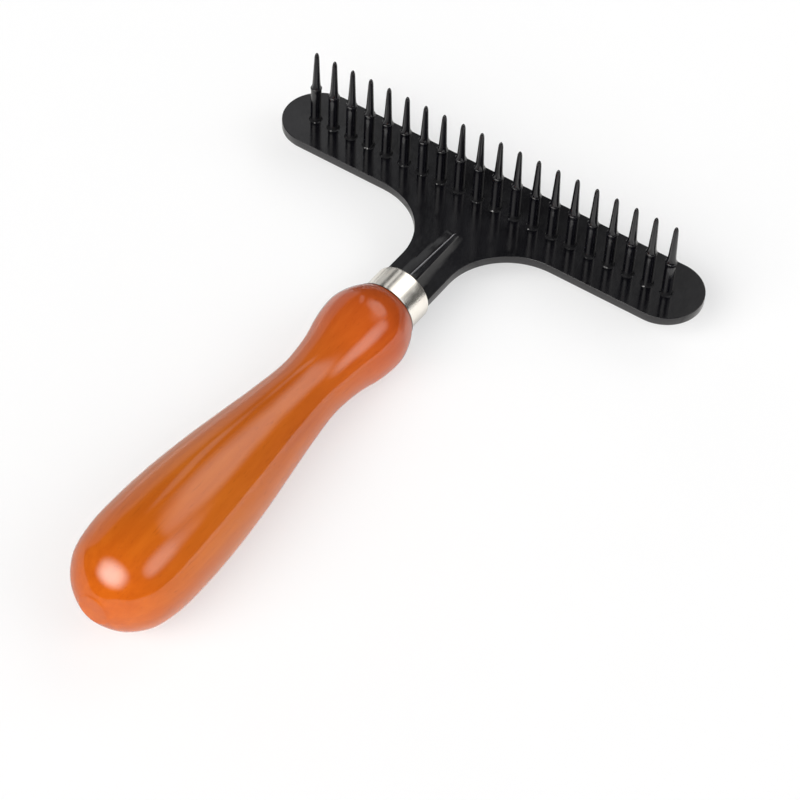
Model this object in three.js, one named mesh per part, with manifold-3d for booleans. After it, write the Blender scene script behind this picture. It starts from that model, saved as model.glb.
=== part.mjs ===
// Deshedding tool: a turned wooden handle, a plated ferrule, and a black T-shaped
// head plate that carries one row of stepped pins.
//
// Units are millimetres. The origin is the centre of the handle's flat butt face.
// +Y runs along the handle towards the head, +X runs along the bar, and +Z is the
// way the pins point. The handle's axis lies in the middle of the plate's thickness.

import * as THREE from "three";
import { mergeVertices } from "three/addons/utils/BufferGeometryUtils.js";
import Module from "manifold-3d";

// Overall size
const TOOL_LENGTH = 150;
const BAR_LENGTH = 110;

// Head plate
const BAR_WIDTH = 18.05;
const PLATE_THICKNESS = 2.1;
const PLATE_CHAMFER = 0.2;
const STEM_WIDTH = 12.6;
const STEM_FILLET = 16;
const TANG_ROOT_WIDTH = 7.6;
const TANG_TIP_WIDTH = 5.2;
const TANG_LENGTH = 32;

// Ridge on the stem: heights and half widths at its root and where its nose begins
const RIDGE_TO_BAR = 3.9;
const RIDGE_NOSE = 1.6;
const CREST = { rootHeight: 2.7, noseHeight: 0.75, rootHalfWidth: 1.1, noseHalfWidth: 0.9 };
const FLANKS = { rootHeight: 0.46, noseHeight: 0.25, rootHalfWidth: 4, noseHalfWidth: 2.2 };

// Pins
const PIN_COUNT = 20;
const PIN_PITCH = 4.94;
const ROW_TO_FAR_EDGE = 9.8;
const PIN_HEIGHT = 19.84;
const SHANK_HEIGHT = 9.7;
const SHANK_RADIUS = 1.22;
const SHOULDER_RADIUS = 1.33;
const FOOT_RADIUS = 1.65;
const CONE_BASE_RADIUS = 0.97;
const CONE_TOP_RADIUS = 0.59;
const TIP_LENGTH = 1.9;
const RIVET_RADIUS = 0.75;
const RIVET_HEAD_RADIUS = 1.35;
const RIVET_HEAD_HEIGHT = 0.45;
const RIVET_HOLE_RADIUS = 0.85;

// Handle: the turned outline as [distance from the butt, radius]
const HANDLE_OUTLINE = [
  [0, 3.4],
  [0.9, 5.2],
  [3.2, 8.25],
  [7.4, 11.1],
  [13.6, 12.45],
  [20.8, 12.7],
  [31.2, 12.3],
  [41.5, 11.35],
  [51.8, 10],
  [62.2, 8.55],
  [72.5, 7.6],
  [80.8, 8.3],
  [87.6, 9.75],
  [93, 10.1],
  [97.2, 8.9],
  [99.7, 7.4],
];
const TENON_RADIUS = 6.35;
const TENON_END = 105.2;
const BORE_RADIUS = 4.4;
const BORE_DEPTH = 37.2;
const DRILL_POINT = 1.6;

// Ferrule
const FERRULE_OUTER_RADIUS = 6.85;
const FERRULE_INNER_RADIUS = 6.45;
const FERRULE_LENGTH = 7.25;
const FERRULE_REAR_CHAMFER = 0.15;
const FERRULE_FRONT_ROUND = 0.3;

// Clearance between pieces that sit inside one another
const FIT_GAP = 0.1;

// Facets
const HANDLE_SEGMENTS = 36;
const HANDLE_STEPS_PER_STATION = 3;
const PIN_SEGMENTS = 12;
const PLATE_ARC_SEGMENTS = 8;

// Positions that follow from the sizes above
const HALF_THICKNESS = PLATE_THICKNESS / 2;
const SHOULDER_Y = HANDLE_OUTLINE.at(-1)[0];
const STEM_END = TENON_END + FIT_GAP;
const NEAR_EDGE_Y = TOOL_LENGTH - BAR_WIDTH;
const ROW_Y = TOOL_LENGTH - ROW_TO_FAR_EDGE;

const wasm = await Module();
wasm.setup();

// A closed solid of the boolean library from a geometry.
function toSolid(geometry) {
  const bare = geometry.clone();
  bare.deleteAttribute("normal");
  bare.deleteAttribute("uv");
  const welded = mergeVertices(bare);
  const mesh = new wasm.Mesh({
    numProp: 3,
    vertProperties: new Float32Array(welded.attributes.position.array),
    triVerts: new Uint32Array(welded.index.array),
  });
  return new wasm.Manifold(mesh);
}

// A geometry from a closed solid.
function toGeometry(solid) {
  const mesh = solid.getMesh();
  const geometry = new THREE.BufferGeometry();
  geometry.setAttribute("position", new THREE.BufferAttribute(mesh.vertProperties, 3));
  geometry.setIndex(new THREE.BufferAttribute(mesh.triVerts, 1));
  geometry.computeVertexNormals();
  return geometry;
}

function makeMesh(name, geometry, material) {
  const mesh = new THREE.Mesh(geometry, material);
  mesh.name = name;
  return mesh;
}

// A body of revolution about Y, from an outline of [radius, y] pairs. It is turned
// by half a facet, so that a flat and not an edge faces straight down.
function revolve(outline, segments) {
  const points = outline.map(([radius, y]) => new THREE.Vector2(radius, y));
  return new THREE.LatheGeometry(points, segments, Math.PI / segments);
}

// An outline in the XY plane, extruded so that its middle lies at z = 0.
function extrudeCentred(shape, thickness, chamfer = 0) {
  const geometry = new THREE.ExtrudeGeometry(shape, {
    depth: thickness - 2 * chamfer,
    curveSegments: PLATE_ARC_SEGMENTS,
    bevelEnabled: chamfer > 0,
    bevelThickness: chamfer,
    bevelSize: chamfer,
    bevelOffset: -chamfer,
    bevelSegments: 1,
  });
  geometry.translate(0, 0, chamfer - thickness / 2);
  return geometry;
}

// The distance of pin number i from the middle of the row.
function pinX(i) {
  return (i - (PIN_COUNT - 1) / 2) * PIN_PITCH;
}

// Turned handle: flat butt, swelling grip, waist, front bulb, and a tenon whose
// blind bore takes the tang.
function makeHandle() {
  const stations = HANDLE_OUTLINE.map(([y, radius]) => new THREE.Vector3(radius, y, 0));
  const curve = new THREE.CatmullRomCurve3(stations, false, "centripetal");
  const steps = HANDLE_STEPS_PER_STATION * (stations.length - 1);
  const grip = curve.getPoints(steps).map((point) => [point.x, point.y]);
  const boreEnd = TENON_END - BORE_DEPTH;
  const outline = [
    [0, 0],
    ...grip,
    [TENON_RADIUS, SHOULDER_Y],
    [TENON_RADIUS, TENON_END],
    [BORE_RADIUS, TENON_END],
    [BORE_RADIUS, boreEnd],
    [0, boreEnd - DRILL_POINT],
  ];
  return revolve(outline, HANDLE_SEGMENTS);
}

// Thin tube pushed over the tenon, chamfered behind and rounded at its mouth.
function makeFerrule() {
  const rear = SHOULDER_Y + FIT_GAP / 2;
  const front = rear + FERRULE_LENGTH;
  const inner = FERRULE_INNER_RADIUS;
  const outer = FERRULE_OUTER_RADIUS;
  const outline = [
    [inner, rear],
    [outer - FERRULE_REAR_CHAMFER, rear],
    [outer, rear + FERRULE_REAR_CHAMFER],
    [outer, front - FERRULE_FRONT_ROUND],
    [outer - 0.3 * FERRULE_FRONT_ROUND, front - 0.3 * FERRULE_FRONT_ROUND],
    [outer - FERRULE_FRONT_ROUND, front],
    [inner, front],
    [inner, rear],
  ];
  return revolve(outline, HANDLE_SEGMENTS);
}

// The tapered tang's outline, grown by a margin on its sides and tip.
function tangShape(margin) {
  const root = TANG_ROOT_WIDTH / 2 + margin;
  const tip = TANG_TIP_WIDTH / 2 + margin;
  const tipY = STEM_END - TANG_LENGTH - margin;
  const shape = new THREE.Shape();
  shape.moveTo(-tip, tipY);
  shape.lineTo(tip, tipY);
  shape.lineTo(root, STEM_END + 1);
  shape.lineTo(-root, STEM_END + 1);
  shape.closePath();
  return shape;
}

// Bar with rounded ends, filleted into the stem, and pierced for the pins.
function barShape() {
  const endRadius = BAR_WIDTH / 2;
  const endX = BAR_LENGTH / 2 - endRadius;
  const endY = TOOL_LENGTH - endRadius;
  const stem = STEM_WIDTH / 2;
  const filletX = stem + STEM_FILLET;
  const filletY = NEAR_EDGE_Y - STEM_FILLET;
  const shape = new THREE.Shape();
  shape.moveTo(-stem, STEM_END);
  shape.lineTo(stem, STEM_END);
  shape.absarc(filletX, filletY, STEM_FILLET, Math.PI, Math.PI / 2, true);
  shape.absarc(endX, endY, endRadius, -Math.PI / 2, Math.PI / 2, false);
  shape.absarc(-endX, endY, endRadius, Math.PI / 2, 1.5 * Math.PI, false);
  shape.absarc(-filletX, filletY, STEM_FILLET, Math.PI / 2, 0, true);
  shape.closePath();
  for (let i = 0; i < PIN_COUNT; i += 1) {
    const hole = new THREE.Path();
    hole.absarc(pinX(i), ROW_Y, RIVET_HOLE_RADIUS, 0, 2 * Math.PI, true);
    shape.holes.push(hole);
  }
  return shape;
}

// Roof-shaped ridge that starts flush with the stem's end, gets lower towards the
// bar, and ends in a short sloping nose.
function makeRidge(size) {
  const noseEnd = NEAR_EDGE_Y - RIDGE_TO_BAR;
  const noseStart = noseEnd - RIDGE_NOSE;
  const points = [[0, noseEnd, HALF_THICKNESS], [0, noseEnd, 0]];
  const sections = [
    [STEM_END, size.rootHalfWidth, size.rootHeight],
    [noseStart, size.noseHalfWidth, size.noseHeight],
  ];
  for (const [y, halfWidth, height] of sections) {
    points.push([-halfWidth, y, 0], [halfWidth, y, 0]);
    points.push([-halfWidth, y, HALF_THICKNESS], [halfWidth, y, HALF_THICKNESS]);
    points.push([0, y, HALF_THICKNESS + height]);
  }
  return wasm.Manifold.hull(points);
}

// One plate: bar, stem, tang, and a stiffening ridge with a steep crest on low flanks.
function makeHeadPlate() {
  const bar = toSolid(extrudeCentred(barShape(), PLATE_THICKNESS, PLATE_CHAMFER));
  const tang = toSolid(extrudeCentred(tangShape(0), PLATE_THICKNESS));
  return toGeometry(bar.add(tang).add(makeRidge(FLANKS)).add(makeRidge(CREST)));
}

// Cured resin that fills the bore around the tang.
function makeTangBond() {
  const top = TENON_END - FIT_GAP;
  const bottom = TENON_END - BORE_DEPTH + FIT_GAP;
  const radius = BORE_RADIUS - FIT_GAP;
  const plug = new THREE.CylinderGeometry(radius, radius, top - bottom, HANDLE_SEGMENTS);
  plug.translate(0, (top + bottom) / 2, 0);
  const slot = extrudeCentred(tangShape(FIT_GAP), PLATE_THICKNESS + 2 * FIT_GAP);
  return toGeometry(toSolid(plug).subtract(toSolid(slot)));
}

// Stepped pin, with its foot on the plate's top face at local z = 0: a riveted
// tail below, then a flared foot, a shank, a shoulder and a blunt cone.
function makePin() {
  const back = -PLATE_THICKNESS;
  const outline = [
    [0, back - RIVET_HEAD_HEIGHT],
    [0.65 * RIVET_HEAD_RADIUS, back - RIVET_HEAD_HEIGHT],
    [RIVET_HEAD_RADIUS, back - 0.3 * RIVET_HEAD_HEIGHT],
    [RIVET_HEAD_RADIUS, back],
    [RIVET_RADIUS, back],
    [RIVET_RADIUS, 0],
    [FOOT_RADIUS, 0],
    [1.4, 0.2],
    [SHANK_RADIUS, 0.7],
    [SHANK_RADIUS, 0.88 * SHANK_HEIGHT],
    [SHOULDER_RADIUS, SHANK_HEIGHT - 0.2],
    [SHOULDER_RADIUS - 0.15, SHANK_HEIGHT],
    [CONE_BASE_RADIUS, SHANK_HEIGHT],
    [CONE_TOP_RADIUS, PIN_HEIGHT - TIP_LENGTH],
    [0.75 * CONE_TOP_RADIUS, PIN_HEIGHT - 0.3 * TIP_LENGTH],
    [0.4 * CONE_TOP_RADIUS, PIN_HEIGHT - 0.05 * TIP_LENGTH],
    [0, PIN_HEIGHT],
  ];
  const pin = revolve(outline, PIN_SEGMENTS);
  pin.rotateX(Math.PI / 2);
  return pin;
}

const lacqueredWood = new THREE.MeshStandardMaterial({
  color: "#c4560f",
  roughness: 0.25,
  metalness: 0,
});
const blackCoat = new THREE.MeshStandardMaterial({
  color: "#141416",
  roughness: 0.3,
  metalness: 0.1,
});
const nickelPlate = new THREE.MeshStandardMaterial({
  color: "#d8d3c8",
  roughness: 0.15,
  metalness: 1,
});
const curedResin = new THREE.MeshStandardMaterial({
  color: "#b98f4a",
  roughness: 0.4,
  metalness: 0,
});

const tool = new THREE.Group();
tool.add(makeMesh("handle", makeHandle(), lacqueredWood));
tool.add(makeMesh("ferrule", makeFerrule(), nickelPlate));
tool.add(makeMesh("tang_bond", makeTangBond(), curedResin));

const head = new THREE.Group();
head.add(makeMesh("head_plate", makeHeadPlate(), blackCoat));

const pinRow = new THREE.Group();
pinRow.position.set(0, ROW_Y, HALF_THICKNESS);
for (let i = 0; i < PIN_COUNT; i += 1) {
  const number = String(i + 1).padStart(2, "0");
  const pin = makeMesh(`tooth_${number}`, makePin(), blackCoat);
  pin.position.x = pinX(i);
  pinRow.add(pin);
}
head.add(pinRow);
tool.add(head);

export default tool;
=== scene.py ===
"""Looks for the deshedding tool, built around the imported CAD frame.

Lengths inside the builders are millimetres in the CAD frame; meshes are made in
metres. +Y runs from the handle's butt to the head, +X along the bar, +Z the way
the pins point.
"""

import math

import bmesh
import bpy
from mathutils import Matrix, Vector, noise
from mathutils.geometry import delaunay_2d_cdt


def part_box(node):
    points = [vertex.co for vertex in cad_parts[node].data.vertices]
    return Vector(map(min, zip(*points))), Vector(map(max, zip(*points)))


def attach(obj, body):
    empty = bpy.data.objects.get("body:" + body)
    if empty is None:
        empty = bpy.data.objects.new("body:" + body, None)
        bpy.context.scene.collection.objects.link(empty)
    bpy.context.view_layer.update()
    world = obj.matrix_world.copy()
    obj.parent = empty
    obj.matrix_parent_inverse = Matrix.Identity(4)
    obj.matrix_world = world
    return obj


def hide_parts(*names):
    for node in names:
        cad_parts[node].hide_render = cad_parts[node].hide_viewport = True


MM = 0.001

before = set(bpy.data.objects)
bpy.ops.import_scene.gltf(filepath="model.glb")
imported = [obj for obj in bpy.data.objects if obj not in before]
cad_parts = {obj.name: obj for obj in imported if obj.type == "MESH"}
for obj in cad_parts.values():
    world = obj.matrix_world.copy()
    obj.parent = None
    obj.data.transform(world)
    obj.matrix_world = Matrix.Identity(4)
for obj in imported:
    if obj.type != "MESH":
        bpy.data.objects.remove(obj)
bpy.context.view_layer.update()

# Sizes taken from the CAD frame, in millimetres
plate_low, plate_high = (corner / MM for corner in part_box("head_plate"))
ferrule_low, ferrule_high = (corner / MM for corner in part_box("ferrule"))
PIN_NODES = sorted(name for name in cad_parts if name.startswith("tooth_"))
PIN_BOXES = [[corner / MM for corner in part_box(name)] for name in PIN_NODES]
PIN_XS = [(low.x + high.x) / 2 for low, high in PIN_BOXES]

# The plate is centred on Z = 0
PLATE_BACK = plate_low.z
PLATE_TOP = -PLATE_BACK
PLATE_THICKNESS = PLATE_TOP - PLATE_BACK
RIDGE_HEIGHT = plate_high.z - PLATE_TOP
FAR_EDGE_Y = plate_high.y
BAR_HALF_LENGTH = plate_high.x
ROW_Y = (PIN_BOXES[0][0].y + PIN_BOXES[0][1].y) / 2
PIN_TIP_Z = PIN_BOXES[0][1].z
RIVET_BACK_Z = PIN_BOXES[0][0].z
FERRULE_RADIUS = ferrule_high.x
TENON_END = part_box("handle")[1].y / MM

# Sizes that the frame's boxes don't give, in millimetres; they match the CAD part

# Head plate
BAR_WIDTH = 18.05
STEM_HALF_WIDTH = 6.3
STEM_FILLET = 16
STEM_END = TENON_END + 0.1
STEM_SIDE_YS = range(107, 117, 2)
TANG_ROOT_HALF_WIDTH = 3.8
TANG_TIP_HALF_WIDTH = 2.6
NEAR_EDGE_Y = FAR_EDGE_Y - BAR_WIDTH
EDGE_ROUND = 0.1
RIDGE_END_Y = NEAR_EDGE_Y - 3.9
RIDGE_NOSE_Y = RIDGE_END_Y - 1.6
# The grid under the ridge: rows along it, and columns that get closer at its crest
RIDGE_ROWS = 120
RIDGE_STEPS = [0, 0.12, 0.24, 0.4, 0.6, 0.8, 0.92, 1.0, 1.12, 1.3, 1.7, 2.1, 2.5, 3.0, 3.5, 3.9, 4.3]
RIDGE_COLUMNS = [-x for x in RIDGE_STEPS[:0:-1]] + RIDGE_STEPS
# Ridge half widths and heights at the stem's end and where the nose begins
CREST_HALF_WIDTHS = (1.1, 0.9)
CREST_HEIGHTS = (RIDGE_HEIGHT, 0.75)
FLANK_HALF_WIDTHS = (4.0, 2.2)
FLANK_HEIGHTS = (0.46, 0.25)

# Pins; heights are above the plate's top face
SHANK_HEIGHT = 9.7
SHANK_RADIUS = 1.22
SHOULDER_RADIUS = 1.33
SHOULDER_RIM = 0.2
SHOULDER_FLARE_START = 0.86 * SHANK_HEIGHT
FOOT_RADIUS = 1.6
FOOT_HEIGHT = 0.2
CONE_BASE_RADIUS = 0.97
CONE_TOP_RADIUS = 0.59
CONE_FLARE = 0.24
CONE_FLARE_LENGTH = 0.45
TIP_LENGTH = 1.9
RIVET_RADIUS = 0.75
RIVET_HEAD_RADIUS = 1.35
RIVET_HOLE_RADIUS = 0.85
PIN_SEGMENTS = 48
# Where their coating swells unevenly: by how much, and how far along the pin
FOOT_SWELL = 0.1
FOOT_SWELL_REACH = 0.8
SHOULDER_SWELL = 0.09
SHOULDER_SWELL_REACH = 0.7

# Handle and ferrule; the shoulder is the handle's step down to the tenon
SHOULDER_Y = ferrule_low.y - 0.05
BUTT_EDGE = 0.35
TENON_RADIUS = 6.35
TENON_CHAMFER = 0.3
BORE_RADIUS = 4.4
BORE_END_Y = TENON_END - 37.2
DRILL_POINT = 1.6
FERRULE_WALL = 0.4
FERRULE_REAR_ROUND = 0.16
FERRULE_FRONT_ROUND = 0.3
TURNED_SEGMENTS = 160
# Between the handle's waist and its front bulb
PAST_WAIST_Y = TENON_END / 2 + 30


# ---------------------------------------------------------------- geometry

def finish_mesh(name, bm, material, nodes, sharp_angle):
    """Makes an object in metres from a bmesh in millimetres and puts it on the body.

    Faces square to Z stay flat-shaded, so that the wide plate has no false gradients.
    """
    bmesh.ops.scale(bm, vec=(MM, MM, MM), verts=bm.verts)
    bmesh.ops.recalc_face_normals(bm, faces=bm.faces)
    mesh = bpy.data.meshes.new(name)
    bm.to_mesh(mesh)
    bm.free()
    mesh.set_sharp_from_angle(angle=math.radians(sharp_angle))
    for polygon in mesh.polygons:
        polygon.use_smooth = abs(polygon.normal.z) < 0.99999
    mesh.materials.append(material)
    piece = bpy.data.objects.new(name, mesh)
    bpy.context.scene.collection.objects.link(piece)
    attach(piece, "root")
    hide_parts(*nodes)


def revolve(outline, segments, closed_loop=False):
    """A bmesh turned about Y from (radius, y) pairs; points on the axis become poles."""
    bm = bmesh.new()
    rings = []
    for radius, y in outline:
        if radius < 1e-6:
            rings.append([bm.verts.new((0, y, 0))])
            continue
        ring = []
        for i in range(segments):
            angle = 2 * math.pi * i / segments
            ring.append(bm.verts.new((radius * math.sin(angle), y, radius * math.cos(angle))))
        rings.append(ring)
    pairs = list(zip(rings, rings[1:]))
    if closed_loop:
        pairs.append((rings[-1], rings[0]))
    for low, high in pairs:
        for i in range(segments):
            j = (i + 1) % segments
            corners = [low[i % len(low)], low[j % len(low)], high[j % len(high)], high[i % len(high)]]
            unique = list(dict.fromkeys(corners))
            if len(unique) > 2:
                bm.faces.new(unique)
    return bm


def smooth_curve(points, steps):
    """Centripetal Catmull-Rom through 2-D points."""
    points = [Vector(p) for p in points]
    first = 2 * points[0] - points[1]
    last = 2 * points[-1] - points[-2]
    padded = [first, *points, last]
    curve = []
    for p0, p1, p2, p3 in zip(padded, padded[1:], padded[2:], padded[3:]):
        d0 = max((p1 - p0).length ** 0.5, 1e-6)
        d1 = max((p2 - p1).length ** 0.5, 1e-6)
        d2 = max((p3 - p2).length ** 0.5, 1e-6)
        tangent1 = ((p1 - p0) / d0 - (p2 - p0) / (d0 + d1) + (p2 - p1) / d1) * d1
        tangent2 = ((p2 - p1) / d1 - (p3 - p1) / (d1 + d2) + (p3 - p2) / d2) * d1
        for i in range(steps):
            t = i / steps
            curve.append(
                (2 * t**3 - 3 * t**2 + 1) * p1
                + (t**3 - 2 * t**2 + t) * tangent1
                + (3 * t**2 - 2 * t**3) * p2
                + (t**3 - t**2) * tangent2
            )
    curve.append(points[-1])
    return [tuple(p) for p in curve]


def arc(cx, cy, radius, start, end, steps):
    """Points on an arc, angles in degrees, both ends included."""
    points = []
    for i in range(steps + 1):
        angle = math.radians(start + (end - start) * i / steps)
        points.append((cx + radius * math.cos(angle), cy + radius * math.sin(angle)))
    return points


def turned_skin(node):
    """(radius, y) pairs of a turned CAD node's outer skin, from its rings of vertices."""
    skin = {}
    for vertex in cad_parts[node].data.vertices:
        y = round(vertex.co.y / MM, 3)
        radius = math.hypot(vertex.co.x, vertex.co.z) / MM
        skin[y] = max(skin.get(y, 0), radius)
    return [(skin[y], y) for y in sorted(skin)]


def build_handle(material):
    """The handle: a smooth curve through the CAD's rings, then the tenon and the bore."""
    skin = turned_skin("handle")
    grip = [
        (r, y) for r, y in skin
        if 0.2 < y < SHOULDER_Y - 0.01 and (r > TENON_RADIUS or y < BORE_END_Y - 5)
    ]
    flat_radius = min(r for r, y in skin if 0 <= y < 0.01)
    nose_radius = grip[-1][0]
    grip = smooth_curve([(flat_radius + BUTT_EDGE, 0.12), *grip], 4)
    outline = [
        (0, 0),
        (0.5 * flat_radius, 0),
        (flat_radius - BUTT_EDGE, 0),
        (flat_radius, 0.02),
        *grip,
        (nose_radius - 0.25, SHOULDER_Y - 0.08),
        (nose_radius - 0.6, SHOULDER_Y),
        (TENON_RADIUS, SHOULDER_Y),
        (TENON_RADIUS, TENON_END - TENON_CHAMFER),
        (TENON_RADIUS - TENON_CHAMFER, TENON_END),
        (BORE_RADIUS, TENON_END),
        (BORE_RADIUS, BORE_END_Y),
        (0, BORE_END_Y - DRILL_POINT),
    ]
    bm = revolve(outline, TURNED_SEGMENTS)
    finish_mesh("turned_handle", bm, material, ["handle"], sharp_angle=35)


def build_ferrule(material):
    """The ferrule: a thin tube with rounded lips, a hair slimmer halfway along."""
    rear, front = ferrule_low.y, ferrule_high.y
    outer = FERRULE_RADIUS
    inner = outer - FERRULE_WALL
    rear_round = FERRULE_REAR_ROUND
    front_round = FERRULE_FRONT_ROUND
    outline = [
        (inner, rear + 0.1),
        (inner + 0.12, rear),
        *arc(outer - rear_round, rear + rear_round, rear_round, -90, 0, 5),
        (outer - 0.005, rear + 1.0),
        (outer, rear + 1.6),
        (outer - 0.01, (rear + front) / 2),
        (outer, front - 1.0),
        *arc(outer - front_round, front - front_round, front_round, 0, 90, 7),
        (inner + 0.05, front - 0.03),
        (inner, front - 0.15),
    ]
    bm = revolve(outline, TURNED_SEGMENTS, closed_loop=True)
    finish_mesh("nickel_ferrule", bm, material, ["ferrule"], sharp_angle=60)


def plate_outline():
    """The plate's outline, anticlockwise, with the tang."""
    end_x = BAR_HALF_LENGTH - BAR_WIDTH / 2
    end_y = FAR_EDGE_Y - BAR_WIDTH / 2
    fillet_x = STEM_HALF_WIDTH + STEM_FILLET
    fillet_y = NEAR_EDGE_Y - STEM_FILLET
    half = [(TANG_TIP_HALF_WIDTH, plate_low.y), (TANG_ROOT_HALF_WIDTH, STEM_END)]
    half.append((STEM_HALF_WIDTH, STEM_END))
    half += [(STEM_HALF_WIDTH, y) for y in STEM_SIDE_YS]
    half += arc(fillet_x, fillet_y, STEM_FILLET, 180, 90, 40)
    steps = 10
    half += [
        (fillet_x + (end_x - fillet_x) * i / steps, NEAR_EDGE_Y) for i in range(1, steps)
    ]
    half += arc(end_x, end_y, BAR_WIDTH / 2, -90, 90, 56)
    steps = 24
    far = [(end_x - 2 * end_x * i / steps, FAR_EDGE_Y) for i in range(1, steps)]
    return half + far + [(-x, y) for x, y in reversed(half)]


def inset(loop, distance):
    """Moves a closed anticlockwise loop inwards along its mitred normals."""
    moved = []
    for i, here in enumerate(loop):
        before, after = Vector(loop[i - 1]), Vector(loop[(i + 1) % len(loop)])
        here = Vector(here)
        a = (here - before).normalized()
        b = (after - here).normalized()
        normal_a, normal_b = Vector((-a.y, a.x)), Vector((-b.y, b.x))
        bisector = (normal_a + normal_b).normalized()
        stretch = 1 / max(bisector.dot(normal_a), 0.4)
        moved.append(tuple(here + bisector * distance * stretch))
    return moved


def peak(x, power):
    """1 at zero, falling to 0 at plus or minus 1, hollow-sided for powers over 1."""
    return max(0, 1 - abs(x)) ** power


def ridge_height(x, y):
    """Height of the stem's ridge above the plate: a steep crest on low, wide flanks."""
    along = (y - STEM_END) / (RIDGE_NOSE_Y - STEM_END)
    nose = max(0, (y - RIDGE_NOSE_Y) / (RIDGE_END_Y - RIDGE_NOSE_Y))
    if nose >= 1:
        return 0.0
    fade = (1 - nose**2) ** 0.7

    def blend(pair):
        return pair[0] + (pair[1] - pair[0]) * min(along, 1)

    flank = blend(FLANK_HEIGHTS) * peak(x / blend(FLANK_HALF_WIDTHS), 1.2)
    crest = (blend(CREST_HEIGHTS) - blend(FLANK_HEIGHTS)) * peak(x / blend(CREST_HALF_WIDTHS), 1.0)
    return (flank + crest) * fade


def crest_highlight_strength(x, lift):
    """How strong the highlight painted on the ridge is, as bare-metal grey, most of all along its
    crest.
    """
    if lift <= 0 or abs(x) >= 0.95:
        return 0.0
    if abs(x) >= 0.2:
        return 0.03
    if abs(x) >= 0.01:
        return 0.16 * lift
    return min(1, 0.35 + lift)


def inside(point, loop):
    """Whether a 2-D point is inside a closed loop."""
    crossings = False
    for (x1, y1), (x2, y2) in zip(loop, loop[1:] + loop[:1]):
        if (y1 > point.y) != (y2 > point.y):
            if point.x < x1 + (point.y - y1) * (x2 - x1) / (y2 - y1):
                crossings = not crossings
    return crossings


def edge_section():
    """The plate's edge from its back face to its top: (distance inwards, z) pairs."""
    steps = 4
    back_half = []
    for i in range(steps + 1):
        angle = math.pi / 2 * i / steps
        depth = EDGE_ROUND * (1 - math.sin(angle))
        back_half.append((depth, PLATE_BACK + EDGE_ROUND * (1 - math.cos(angle))))
    return back_half + [(depth, -z) for depth, z in reversed(back_half)]


def ridge_grid(first_index):
    """Points under the ridge, and the edges along its crest, numbered from first_index."""
    first_row = STEM_END + 0.35
    last_row = RIDGE_END_Y + 0.3
    points = []
    crest = []
    for row in range(RIDGE_ROWS + 1):
        y = first_row + (last_row - first_row) * row / RIDGE_ROWS
        crest.append(first_index + len(points) + RIDGE_COLUMNS.index(0))
        points += [Vector((x, y)) for x in RIDGE_COLUMNS]
    return points, list(zip(crest, crest[1:]))


def join_rings(bm, low, high):
    """Quads between two closed rings with the same number of vertices."""
    for i in range(len(low)):
        j = (i + 1) % len(low)
        bm.faces.new((low[i], low[j], high[j], high[i]))


def fill_face(bm, rim, holes, top):
    """Triangles over the plate's back or top, between rings of vertices.

    The top has a fine grid as well, which is lifted to the ridge's height.
    """
    painted_crest_highlight = bm.verts.layers.float["painted_crest_highlight"]
    verts = []
    points = []
    edges = []
    for ring in (rim, *holes):
        start = len(points)
        count = len(ring)
        verts += ring
        points += [vertex.co.xy for vertex in ring]
        edges += [(start + i, start + (i + 1) % count) for i in range(count)]
    if top:
        grid_points, crest_edges = ridge_grid(len(points))
        points += grid_points
        edges += crest_edges
    out_points, _, triangles, origins = delaunay_2d_cdt(points, edges, [], 0, 1e-5)[:4]

    cap = []
    for point, origin in zip(out_points, origins):
        known = [k for k in origin if k < len(verts)]
        if known:
            cap.append(verts[known[0]])
            continue
        lift = ridge_height(point.x, point.y) if top else 0.0
        z = PLATE_TOP if top else PLATE_BACK
        vertex = bm.verts.new((point.x, point.y, z + lift))
        # Painted highlight along the ridge, strongest on the crest line
        vertex[painted_crest_highlight] = crest_highlight_strength(point.x, lift)
        cap.append(vertex)

    outline = [tuple(vertex.co.xy) for vertex in rim]
    for triangle in triangles:
        middle = sum((out_points[k] for k in triangle), Vector((0, 0))) / 3
        in_hole = any((middle - Vector((x, ROW_Y))).length < RIVET_HOLE_RADIUS for x in PIN_XS)
        if inside(middle, outline) and not in_hole:
            bm.faces.new([cap[k] for k in triangle])


def build_plate(material):
    """The plate: rounded edges, rivet holes, and the ridge raised on its top face."""
    bm = bmesh.new()
    bm.verts.layers.float.new("painted_crest_highlight")
    outline = plate_outline()
    rings = []
    for depth, z in edge_section():
        rings.append([bm.verts.new((x, y, z)) for x, y in inset(outline, depth)])
    for low, high in zip(rings, rings[1:]):
        join_rings(bm, low, high)
    back_holes = []
    top_holes = []
    for pin_x in PIN_XS:
        circle = arc(pin_x, ROW_Y, RIVET_HOLE_RADIUS, 360, 0, 24)[:-1]
        back_holes.append([bm.verts.new((x, y, PLATE_BACK)) for x, y in circle])
        top_holes.append([bm.verts.new((x, y, PLATE_TOP)) for x, y in circle])
        join_rings(bm, back_holes[-1], top_holes[-1])
    fill_face(bm, rings[0], back_holes, top=False)
    fill_face(bm, rings[-1], top_holes, top=True)
    bmesh.ops.delete(bm, geom=[v for v in bm.verts if not v.link_faces], context="VERTS")
    finish_mesh("head_plate_body", bm, material, ["head_plate"], sharp_angle=45)


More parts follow.
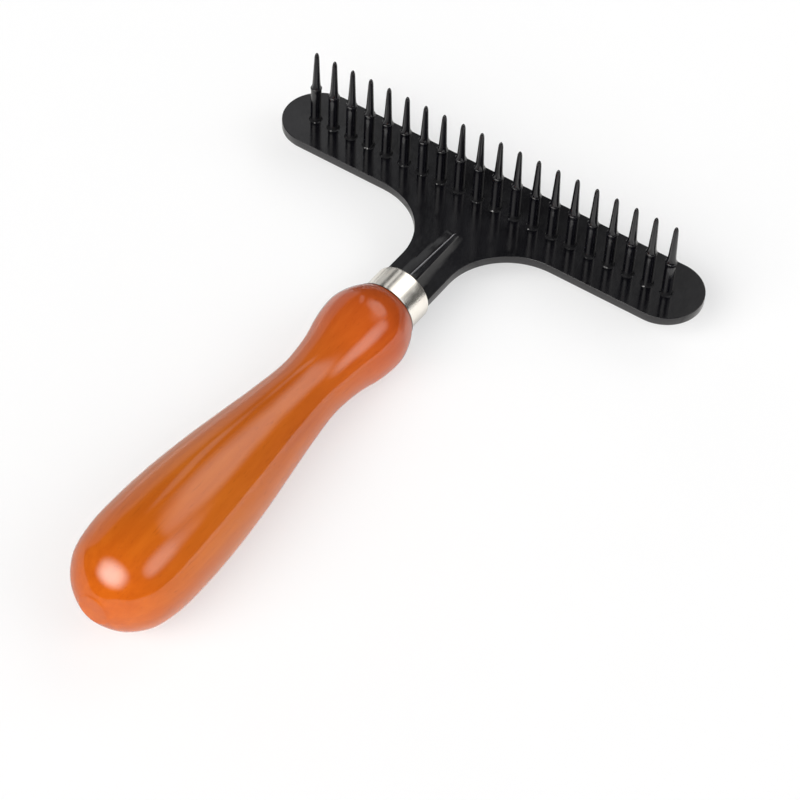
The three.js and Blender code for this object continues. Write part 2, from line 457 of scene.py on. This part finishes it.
def pin_outline():
    """(radius, height above the plate's top) from the rivet head to the tip."""
    tip = PIN_TIP_Z - PLATE_TOP
    back = -PLATE_THICKNESS
    head = RIVET_BACK_Z - PLATE_TOP
    outline = [(0, head), (0.5 * RIVET_HEAD_RADIUS, head + 0.03)]
    outline += [
        (RIVET_HEAD_RADIUS * math.sin(a), back - (back - head) * math.cos(a) ** 0.7)
        for a in (math.radians(d) for d in (42, 54, 64, 74, 82))
    ]
    outline += [(RIVET_HEAD_RADIUS, back), (RIVET_RADIUS, back), (RIVET_RADIUS, 0)]
    for t in (1, 0.8, 0.6, 0.4, 0.2, 0.05):
        radius = SHANK_RADIUS + (FOOT_RADIUS - SHANK_RADIUS) * t
        outline.append((radius, FOOT_HEIGHT * math.cos(math.pi / 2 * t) ** 1.5))
    outline += [(SHANK_RADIUS, z) for z in (0.6, 1.6, 3.0, 5.0, 7.0)]
    flare_end = SHANK_HEIGHT - SHOULDER_RIM - 0.04
    for t in (0, 0.25, 0.5, 0.75, 1):
        radius = SHANK_RADIUS + (SHOULDER_RADIUS - SHANK_RADIUS) * t**1.8
        height = SHOULDER_FLARE_START + (flare_end - SHOULDER_FLARE_START) * t
        outline.append((radius, height))
    rim_centre = (SHOULDER_RADIUS - SHOULDER_RIM, SHANK_HEIGHT - SHOULDER_RIM)
    outline += arc(*rim_centre, SHOULDER_RIM, 0, 90, 6)
    cone_top = tip - TIP_LENGTH
    cone_bottom = SHANK_HEIGHT - 0.02
    for i in range(11):
        t = (i / 10) ** 1.6
        flare = CONE_FLARE * math.exp(-t * (cone_top - SHANK_HEIGHT) / CONE_FLARE_LENGTH)
        radius = CONE_BASE_RADIUS + (CONE_TOP_RADIUS - CONE_BASE_RADIUS) * t + flare
        outline.append((radius, cone_bottom + (cone_top - cone_bottom) * t))
    for t in (0.3, 0.5, 0.66, 0.78, 0.87, 0.94, 0.98):
        radius = CONE_TOP_RADIUS * (1 - 0.12 * t) * (1 - t**3) ** 0.5
        outline.append((radius, cone_top + TIP_LENGTH * t))
    outline.append((0, tip))
    return outline


def build_pin(number, node, x, material):
    """One pin; its coating pools unevenly at the foot and shoulder, and is dull at the foot."""
    bm = revolve(pin_outline(), PIN_SEGMENTS)
    upright = Matrix.Rotation(math.pi / 2, 3, "X")
    bmesh.ops.rotate(bm, verts=bm.verts, cent=(0, 0, 0), matrix=upright)
    centre = Vector((x, ROW_Y, PLATE_TOP))
    dull = bm.verts.layers.float.new("dull")
    for vertex in bm.verts:
        height = vertex.co.z
        radial = Vector((vertex.co.x, vertex.co.y, 0))
        if height > -0.02 and radial.length > 0.1:
            wobble = noise.noise(vertex.co * 1.1 + Vector((number * 7.3, 0, 0)))
            at_foot = max(0, 1 - abs(height - FOOT_HEIGHT) / FOOT_SWELL_REACH)
            at_shoulder = max(0, 1 - abs(height - SHANK_HEIGHT) / SHOULDER_SWELL_REACH)
            swell = FOOT_SWELL * at_foot + SHOULDER_SWELL * at_shoulder
            vertex.co += radial.normalized() * wobble * swell
            vertex[dull] = min(1, 1.6 * at_foot) * min(1, max(0, 1.3 - 2.8 * wobble))
            if radial.length > SHANK_RADIUS + 0.02 and height < FOOT_HEIGHT + 0.01:
                vertex.co.z *= max(0.2, 0.8 + 1.6 * wobble)
        vertex.co += centre
    finish_mesh(f"pin_{number:02d}", bm, material, [node], sharp_angle=50)


# ---------------------------------------------------------------- materials

class Nodes:
    """Adds and links the nodes of one tree; lengths are in metres here."""

    def __init__(self, tree):
        self.tree = tree

    def add(self, kind, **settings):
        node = self.tree.nodes.new(kind)
        for key, value in settings.items():
            setattr(node, key, value)
        return node

    def link(self, source, target):
        self.tree.links.new(source, target)

    def value(self, operation, a, b=0.0):
        node = self.add("ShaderNodeMath", operation=operation)
        for socket, given in zip(node.inputs, (a, b)):
            if isinstance(given, bpy.types.NodeSocket):
                self.link(given, socket)
            else:
                socket.default_value = given
        return node.outputs[0]

    def weighted_sum(self, a, weight_a, b, weight_b):
        scaled_a = self.value("MULTIPLY", a, weight_a)
        scaled_b = self.value("MULTIPLY", b, weight_b)
        return self.value("ADD", scaled_a, scaled_b)

    def remap(self, factor, low, high, to_low, to_high):
        """Maps low..high to to_low..to_high, clamped at both ends."""
        node = self.add("ShaderNodeMapRange")
        node.inputs["From Min"].default_value = low
        node.inputs["From Max"].default_value = high
        node.inputs["To Min"].default_value = to_low
        node.inputs["To Max"].default_value = to_high
        self.link(factor, node.inputs["Value"])
        return node.outputs["Result"]

    def attribute(self, name):
        return self.add("ShaderNodeAttribute", attribute_name=name).outputs["Fac"]

    def axes(self, vector):
        """The X, Y and Z outputs of a vector."""
        node = self.add("ShaderNodeSeparateXYZ")
        self.link(vector, node.inputs[0])
        return node.outputs

    def noise(self, coordinates, scale, detail, roughness=0.5):
        node = self.add("ShaderNodeTexNoise")
        node.inputs["Scale"].default_value = scale
        node.inputs["Detail"].default_value = detail
        node.inputs["Roughness"].default_value = roughness
        self.link(coordinates, node.inputs["Vector"])
        return node.outputs["Fac"]

    def stretched(self, factors):
        """Object coordinates scaled per axis; a factor below 1 draws a pattern out."""
        coordinates = self.add("ShaderNodeTexCoord")
        mapping = self.add("ShaderNodeMapping")
        mapping.inputs["Scale"].default_value = factors
        self.link(coordinates.outputs["Object"], mapping.inputs["Vector"])
        return mapping.outputs["Vector"]

    def ramp(self, factor, stops):
        node = self.add("ShaderNodeValToRGB")
        elements = node.color_ramp.elements
        for element, (position, color) in zip(elements, (stops[0], stops[-1])):
            element.position = position
            element.color = (*color, 1)
        for position, color in stops[1:-1]:
            element = elements.new(position)
            element.color = (*color, 1)
        self.link(factor, node.inputs["Fac"])
        return node.outputs["Color"]

    def mix(self, factor, a, b, blend="MIX"):
        node = self.add("ShaderNodeMix", data_type="RGBA", blend_type=blend)
        for socket, given in ((node.inputs[0], factor), (node.inputs[6], a), (node.inputs[7], b)):
            if isinstance(given, bpy.types.NodeSocket):
                self.link(given, socket)
            elif isinstance(given, tuple):
                socket.default_value = (*given, 1)
            else:
                socket.default_value = given
        return node.outputs[2]

    def dot(self, vector, fixed):
        node = self.add("ShaderNodeVectorMath", operation="DOT_PRODUCT")
        self.link(vector, node.inputs[0])
        node.inputs[1].default_value = fixed
        return node.outputs["Value"]

    def bump(self, height, strength, distance):
        node = self.add("ShaderNodeBump")
        node.inputs["Strength"].default_value = strength
        node.inputs["Distance"].default_value = distance
        self.link(height, node.inputs["Height"])
        return node.outputs["Normal"]


def new_material(name):
    """A new material, its node helper and its Principled shader."""
    material = bpy.data.materials.new(name)
    material.use_nodes = True
    nodes = Nodes(material.node_tree)
    shader = material.node_tree.nodes["Principled BSDF"]
    return material, nodes, shader


def lacquered_wood():
    """Orange-brown dyed wood under a clear gloss lacquer, with fine straight grain."""
    material, nodes, shader = new_material("lacquered_wood")
    broad = nodes.noise(nodes.stretched((1, 0.12, 1)), scale=190, detail=3)
    streaks = nodes.noise(nodes.stretched((1, 0.035, 1)), scale=750, detail=4, roughness=0.6)
    pores = nodes.noise(nodes.stretched((1, 0.06, 1)), scale=2600, detail=2, roughness=0.6)
    figure = nodes.weighted_sum(broad, 0.6, streaks, 0.4)
    base = nodes.ramp(figure, [
        (0.32, (0.42, 0.08, 0.007)),
        (0.5, (0.47, 0.097, 0.009)),
        (0.68, (0.52, 0.117, 0.012)),
    ])
    y = nodes.axes(nodes.add("ShaderNodeTexCoord").outputs["Object"])["Y"]
    along = nodes.remap(y, 0.0, TENON_END * MM, 0, 1)
    tint = nodes.ramp(along, [
        (0.0, (0.96, 0.88, 0.4)),
        (0.3, (1.0, 1.14, 1.0)),
        (0.7, (0.95, 0.93, 1.0)),
        (1.0, (0.84, 0.56, 0.9)),
    ])
    tinted = nodes.mix(1.0, base, tint, blend="MULTIPLY")
    pore_mask = nodes.remap(pores, 0.62, 0.75, 0, 0.35)
    grained = nodes.mix(pore_mask, tinted, (0.22, 0.035, 0.004))
    # Grime and painted shade darken the last three quarters of a millimetre before the ferrule, where
    # the wood meets it; the lacquer shines less there
    grime_and_shade = nodes.remap(y, (ferrule_low.y - 0.75) * MM, (ferrule_low.y - 0.3) * MM, 0, 1)
    nodes.link(nodes.mix(grime_and_shade, grained, (0.03, 0.01, 0.004)), shader.inputs["Base Color"])
    nodes.link(nodes.remap(streaks, 0.3, 0.7, 0.34, 0.46), shader.inputs["Roughness"])
    shader.inputs["Specular IOR Level"].default_value = 0.02
    nodes.link(nodes.remap(grime_and_shade, 0, 1, 1.0, 0.2), shader.inputs["Coat Weight"])
    shader.inputs["Coat IOR"].default_value = 1.5
    patches = nodes.noise(nodes.stretched((1, 1, 1)), scale=60, detail=2)
    # The lacquer is duller on the last few millimetres before the ferrule
    duller = nodes.remap(y, (ferrule_low.y - 5) * MM, (ferrule_low.y - 2) * MM, 0, 0.16)
    rough = nodes.value("ADD", nodes.remap(patches, 0.3, 0.7, 0.05, 0.1), duller)
    nodes.link(rough, shader.inputs["Coat Roughness"])
    peel = nodes.noise(nodes.stretched((1, 0.4, 1)), scale=110, detail=2)
    nodes.link(nodes.bump(peel, strength=0.12, distance=0.0008), shader.inputs["Coat Normal"])
    nodes.link(nodes.bump(streaks, strength=0.08, distance=0.0001), shader.inputs["Normal"])
    return material


def black_coat():
    """Glossy black baked coating with a faint orange peel.

    One vertex attribute paints a highlight along the ridge's crest in bare-metal grey, and "dull"
    greys and roughens.
    """
    material, nodes, shader = new_material("black_coat")
    coordinates = nodes.stretched((1, 1, 1))
    cloud = nodes.noise(coordinates, scale=120, detail=3)
    grain = nodes.noise(coordinates, scale=2400, detail=3, roughness=0.6)
    black = nodes.ramp(cloud, [
        (0.35, (0.0018, 0.0017, 0.0028)),
        (0.65, (0.003, 0.0029, 0.0044)),
    ])
    # Painted highlight along the ridge's crest: bare-metal grey over the black, broken up by the
    # grain
    crest_highlight_mask = nodes.value("MULTIPLY", nodes.attribute("painted_crest_highlight"), nodes.remap(grain, 0.35, 0.6, 0.7, 1.0))
    dull = nodes.attribute("dull")
    pooled = nodes.mix(dull, black, (0.011, 0.011, 0.012))
    nodes.link(nodes.mix(crest_highlight_mask, pooled, (0.42, 0.42, 0.44)), shader.inputs["Base Color"])
    gritty = nodes.remap(grain, 0.4, 0.7, 0, 0.06)
    rough = nodes.value("ADD", nodes.remap(cloud, 0.3, 0.7, 0.09, 0.17), gritty)
    rough = nodes.value("ADD", rough, nodes.value("MULTIPLY", dull, 0.4))
    nodes.link(rough, shader.inputs["Roughness"])
    shader.inputs["IOR"].default_value = 1.5
    # Less shine where the surface is seen edge-on, and where the coating is dull
    facing = nodes.add("ShaderNodeLayerWeight")
    facing.inputs["Blend"].default_value = 0.5
    edge = nodes.remap(facing.outputs["Facing"], 0.6, 1.0, 0.5, 0.25)
    shine = nodes.remap(dull, 0, 1, 1, 0.1)
    nodes.link(nodes.value("MULTIPLY", edge, shine), shader.inputs["Specular IOR Level"])
    peel = nodes.noise(coordinates, scale=420, detail=2)
    peel = nodes.value("ADD", peel, nodes.value("MULTIPLY", grain, 0.25))
    nodes.link(nodes.bump(peel, strength=0.12, distance=0.00012), shader.inputs["Normal"])
    return material


def nickel_plate():
    """Warm polished nickel with faint turning lines and soft handling marks."""
    material, nodes, shader = new_material("nickel_plate")
    lines = nodes.noise(nodes.stretched((0.02, 1, 0.02)), scale=5200, detail=3, roughness=0.7)
    marks = nodes.noise(nodes.stretched((1, 1, 1)), scale=500, detail=4, roughness=0.6)
    nodes.link(nodes.ramp(marks, [
        (0.3, (0.84, 0.8, 0.73)),
        (0.7, (0.92, 0.89, 0.83)),
    ]), shader.inputs["Base Color"])
    shader.inputs["Metallic"].default_value = 0.92
    nodes.link(nodes.remap(marks, 0.3, 0.7, 0.15, 0.25), shader.inputs["Roughness"])
    nodes.link(nodes.bump(lines, strength=0.12, distance=0.00003), shader.inputs["Normal"])
    return material


def cured_resin():
    """Amber epoxy, slightly cloudy and uneven."""
    material, nodes, shader = new_material("cured_resin")
    cloud = nodes.noise(nodes.stretched((1, 1, 1)), scale=700, detail=3)
    nodes.link(nodes.ramp(cloud, [
        (0.35, (0.32, 0.16, 0.04)),
        (0.65, (0.5, 0.3, 0.1)),
    ]), shader.inputs["Base Color"])
    shader.inputs["Roughness"].default_value = 0.3
    nodes.link(nodes.bump(cloud, strength=0.3, distance=0.0002), shader.inputs["Normal"])
    return material


# ---------------------------------------------------------------- studio

def direction(azimuth, elevation):
    """A unit vector: azimuth from +X towards +Y, elevation above the XY plane."""
    a, e = math.radians(azimuth), math.radians(elevation)
    return Vector((math.cos(a) * math.cos(e), math.sin(a) * math.cos(e), math.sin(e)))


# Soft panels: azimuth, elevation, half width and half height in degrees, roundness
# (2 is an ellipse), edge softness, strength in reflections, strength for matt
# surfaces, colour
WHITE = (1.0, 1.0, 1.0)
SOFT_PANELS = [
    # The main light, behind the butt
    (263, 38, 25, 16.5, 2.2, 0.75, 11.0, 8.6, (1.0, 0.98, 0.95)),
    # At the bar's right end
    (11, 40, 20, 12.5, 2.3, 0.6, 3.2, 2.5, WHITE),
    # Past the bar, a little to the right
    (76, 48.5, 20, 13, 2.5, 0.45, 2.1, 1.7, (1.0, 0.98, 0.94)),
    # Past the bar, a narrow dim one to the left
    (109, 45.5, 5, 12, 3.0, 0.4, 0.34, 0.3, WHITE),
    # Low at the bar's left end
    (158, 4, 28, 25, 4.0, 0.2, 0.5, 0.65, WHITE),
    # A narrow upright one between the last two
    (127.5, 40, 3.5, 11, 3.0, 0.35, 0.85, 0.75, WHITE),
    # A wide fill from the right that only matt surfaces see
    (335, 30, 45, 35, 2.0, 0.5, 0.0, 1.0, WHITE),
]
AMBIENT = 0.04

# The table: the grey that the camera sees, its own glow for the camera and for the
# object, and the grey that lights matt surfaces
FLOOR_SEEN = 0.39
FLOOR_GLOW = 0.52
FLOOR_GLOW_UNSEEN = 0.12
FLOOR_MATT = 1.05
# Half its side in metres, and its gap to the handle in millimetres
FLOOR_HALF_SIZE = 3.0
FLOOR_GAP = 0.02
# Its brightness in mirror-like surfaces: the plain level, what three painted pools of light add to
# it, and the level of the painted bright rim along the handle
FLOOR_MIRRORED = 0.42
RIGHT_SIDE_EXTRA = 0.26
FRONT_EXTRA = 0.26
STRIP_EXTRA = 0.7
RIM_LEVEL = 1.3
# Where the zones and the rim fade in or out, in metres
RIGHT_SIDE_X = (0.0, 0.015)
FRONT_Y = (0.1, 0.125)
STRIP_START_Y = (0.108, 0.118)
STRIP_END_Y = (0.128, 0.145)
RIM_END_Y = (0.095, 0.105)


def white_floor():
    """Pale matt paper, clear when seen from below.

    The camera, matt surfaces and mirror-like surfaces each see it at their own brightness. Only the
    last kind shows zones, which are painted pools of light and a painted bright rim; their places are
    in metres.
    """
    material, nodes, shader = new_material("white_floor")
    speckle = nodes.noise(nodes.stretched((1, 1, 1)), scale=30, detail=2)
    seen = nodes.ramp(speckle, [
        (0.3, (FLOOR_SEEN, FLOOR_SEEN * 1.01, FLOOR_SEEN * 1.03)),
        (0.7, (FLOOR_SEEN * 1.01, FLOOR_SEEN * 1.02, FLOOR_SEEN * 1.04)),
    ])
    geometry = nodes.add("ShaderNodeNewGeometry")
    place = nodes.axes(geometry.outputs["Position"])
    towards = geometry.outputs["Incoming"]
    towards_y = nodes.axes(towards)["Y"]

    # A painted strip of light below the stem, mirrored only by surfaces that lie further along +Y
    strip = nodes.value(
        "MINIMUM",
        nodes.remap(place["Y"], *STRIP_START_Y, 0, 1),
        nodes.remap(place["Y"], *STRIP_END_Y, 1, 0),
    )
    strip = nodes.value("MULTIPLY", strip, nodes.remap(towards_y, 0.0, 0.1, 0, 1))
    # A painted brighter zone on the right side
    right_side = nodes.remap(place["X"], *RIGHT_SIDE_X, 0, RIGHT_SIDE_EXTRA)
    level = nodes.value("ADD", right_side, FLOOR_MIRRORED)
    level = nodes.value("ADD", level, nodes.value("MULTIPLY", strip, STRIP_EXTRA))

    # A painted pool of light from the ferrule on, mirrored only by surfaces that lie nearer the butt
    front = nodes.remap(place["Y"], *FRONT_Y, 0, FRONT_EXTRA)
    front = nodes.value("MULTIPLY", front, nodes.remap(towards_y, 0.0, -0.1, 0, 1))
    level = nodes.value("ADD", level, front)

    # A painted bright rim at the handle's outline, where what it mirrors lies almost straight behind
    # it for the camera
    rim = nodes.remap(nodes.dot(towards, camera_back()), 0.9, 0.98, 0, 1)
    rim = nodes.value("MULTIPLY", rim, nodes.remap(place["Y"], *RIM_END_Y, 1, 0))
    level = nodes.value("MAXIMUM", level, nodes.value("MULTIPLY", rim, RIM_LEVEL))

    mirrored = nodes.mix(level, (0, 0, 0), (1, 1, 1))
    path = nodes.add("ShaderNodeLightPath")
    matt = (FLOOR_MATT, FLOOR_MATT, FLOOR_MATT)
    bounced = nodes.mix(path.outputs["Is Glossy Ray"], matt, mirrored)
    nodes.link(nodes.mix(path.outputs["Is Camera Ray"], bounced, seen), shader.inputs["Base Color"])
    shader.inputs["Emission Color"].default_value = (1, 1, 1, 1)
    glow = nodes.remap(path.outputs["Is Camera Ray"], 0, 1, FLOOR_GLOW_UNSEEN, FLOOR_GLOW)
    nodes.link(glow, shader.inputs["Emission Strength"])
    shader.inputs["Roughness"].default_value = 0.7
    shader.inputs["Specular IOR Level"].default_value = 0.2

    clear = nodes.add("ShaderNodeBsdfTransparent")
    mixer = nodes.add("ShaderNodeMixShader")
    nodes.link(geometry.outputs["Backfacing"], mixer.inputs[0])
    nodes.link(shader.outputs[0], mixer.inputs[1])
    nodes.link(clear.outputs[0], mixer.inputs[2])
    output = material.node_tree.nodes["Material Output"]
    nodes.link(mixer.outputs[0], output.inputs["Surface"])
    return material


def build_world():
    """The soft panels, added up over a dim ambient light; the camera sees plain white."""
    world = bpy.data.worlds.new("studio")
    bpy.context.scene.world = world
    world.use_nodes = True
    tree = world.node_tree
    nodes = Nodes(tree)
    tree.nodes.clear()
    view = nodes.add("ShaderNodeTexCoord").outputs["Generated"]

    def fade(value, softness):
        """1 for values well under 1 and 0 well over it, with a soft step between."""
        node = nodes.add("ShaderNodeMapRange", interpolation_type="SMOOTHSTEP")
        nodes.link(value, node.inputs["Value"])
        node.inputs["From Min"].default_value = 1 + softness
        node.inputs["From Max"].default_value = 1 - softness
        return node.outputs["Result"]

    glossy = nodes.add("ShaderNodeLightPath").outputs["Is Glossy Ray"]

    def panel(azimuth, elevation, half_width, half_height, roundness, softness,
              reflected, matt, color):
        """The light of one panel: a rounded shape round its centre, soft at its edge."""
        centre = direction(azimuth, elevation)
        right = Vector((0, 0, 1)).cross(centre).normalized()
        up = centre.cross(right)
        ahead = nodes.value("MAXIMUM", nodes.dot(view, centre), 0.001)

        def share(axis, half_angle):
            """How far out the view is along one axis, 1 at the edge, to a power."""
            edge = nodes.value("MULTIPLY", ahead, math.tan(math.radians(half_angle)))
            lean = nodes.value("DIVIDE", nodes.dot(view, axis), edge)
            return nodes.value("POWER", nodes.value("ABSOLUTE", lean), roundness)

        reach = nodes.value("ADD", share(right, half_width), share(up, half_height))
        mask = fade(nodes.value("POWER", reach, 1 / roundness), softness)
        in_front = nodes.value("GREATER_THAN", nodes.dot(view, centre), 0.02)
        mask = nodes.value("MULTIPLY", mask, in_front)
        for_matt = tuple(matt * c for c in color)
        for_mirrors = tuple(reflected * c for c in color)
        return nodes.mix(mask, (0, 0, 0), nodes.mix(glossy, for_matt, for_mirrors))

    total = (AMBIENT, AMBIENT, AMBIENT)
    for settings in SOFT_PANELS:
        total = nodes.mix(1.0, total, panel(*settings), blend="ADD")

    glow = nodes.add("ShaderNodeBackground")
    nodes.link(total, glow.inputs["Color"])
    backdrop = nodes.add("ShaderNodeBackground")
    backdrop.inputs["Color"].default_value = (*WHITE, 1)
    path = nodes.add("ShaderNodeLightPath")
    mixer = nodes.add("ShaderNodeMixShader")
    nodes.link(path.outputs["Is Camera Ray"], mixer.inputs[0])
    nodes.link(glow.outputs[0], mixer.inputs[1])
    nodes.link(backdrop.outputs[0], mixer.inputs[2])
    output = nodes.add("ShaderNodeOutputWorld")
    nodes.link(mixer.outputs[0], output.inputs["Surface"])
    world.cycles.sampling_method = "MANUAL"
    world.cycles.sample_map_resolution = 1024


def build_floor(material):
    """The table: it touches the undersides of the handle's belly and front bulb."""
    skin = turned_skin("handle")
    belly_radius, belly_y = max(skin)
    bulb_radius, bulb_y = max((r, y) for r, y in skin if y > PAST_WAIST_Y)
    # The slope of a line under both, at the depth where no ring sticks through
    slope = (belly_radius - bulb_radius) / (bulb_y - belly_y)
    normal = Vector((0, -slope, 1)).normalized()
    depth = max(r + slope * y for r, y in skin)
    centre = Vector((0, 0, -depth)) - normal * FLOOR_GAP
    rotation = Vector((0, 0, 1)).rotation_difference(normal).to_matrix().to_4x4()
    bm = bmesh.new()
    bmesh.ops.create_grid(bm, x_segments=8, y_segments=8, size=FLOOR_HALF_SIZE)
    mesh = bpy.data.meshes.new("floor")
    bm.to_mesh(mesh)
    bm.free()
    mesh.materials.append(material)
    floor = bpy.data.objects.new("floor", mesh)
    floor.matrix_world = Matrix.Translation(centre * MM) @ rotation
    bpy.context.scene.collection.objects.link(floor)


# Degrees, then millimetres; the lens is for a 36 mm sensor
CAMERA_AZIMUTH = 31.94
CAMERA_ELEVATION = 48.17
CAMERA_ROLL = 3.20
CAMERA_DISTANCE = 591.9
CAMERA_SHIFT_RIGHT = -19.32
CAMERA_SHIFT_UP = -44.11
CAMERA_LENS = 118.8


def camera_back():
    """The unit vector from the scene towards the camera."""
    return direction(CAMERA_AZIMUTH - 90, CAMERA_ELEVATION)


def build_camera():
    """Rolled a little, shifted across its view and set back from the pin row's foot."""
    roll = math.radians(CAMERA_ROLL)
    back = camera_back()
    right = direction(CAMERA_AZIMUTH, 0)
    up = back.cross(right)
    rolled_right = math.cos(roll) * right + math.sin(roll) * up
    rolled_up = math.cos(roll) * up - math.sin(roll) * right
    place = Vector((0, ROW_Y, PLATE_TOP))
    place += rolled_right * CAMERA_SHIFT_RIGHT
    place += rolled_up * CAMERA_SHIFT_UP
    place += back * CAMERA_DISTANCE
    data = bpy.data.cameras.new("camera")
    data.lens = CAMERA_LENS
    data.sensor_width = 36
    data.clip_start = 0.01
    data.clip_end = 20
    camera = bpy.data.objects.new("camera", data)
    basis = Matrix((rolled_right, rolled_up, back)).transposed().to_4x4()
    camera.matrix_world = Matrix.Translation(place * MM) @ basis
    bpy.context.scene.collection.objects.link(camera)
    bpy.context.scene.camera = camera


# ---------------------------------------------------------------- scene

wood = lacquered_wood()
coat = black_coat()
nickel = nickel_plate()
resin = cured_resin()

build_handle(wood)
build_ferrule(nickel)
build_plate(coat)
for pin_number, (pin_node, pin_x) in enumerate(zip(PIN_NODES, PIN_XS), start=1):
    build_pin(pin_number, pin_node, pin_x, coat)

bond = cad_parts["tang_bond"]
bond.data.materials.clear()
bond.data.materials.append(resin)

build_floor(white_floor())
build_world()
build_camera()

scene = bpy.context.scene
scene.view_settings.view_transform = "Standard"
scene.view_settings.look = "None"
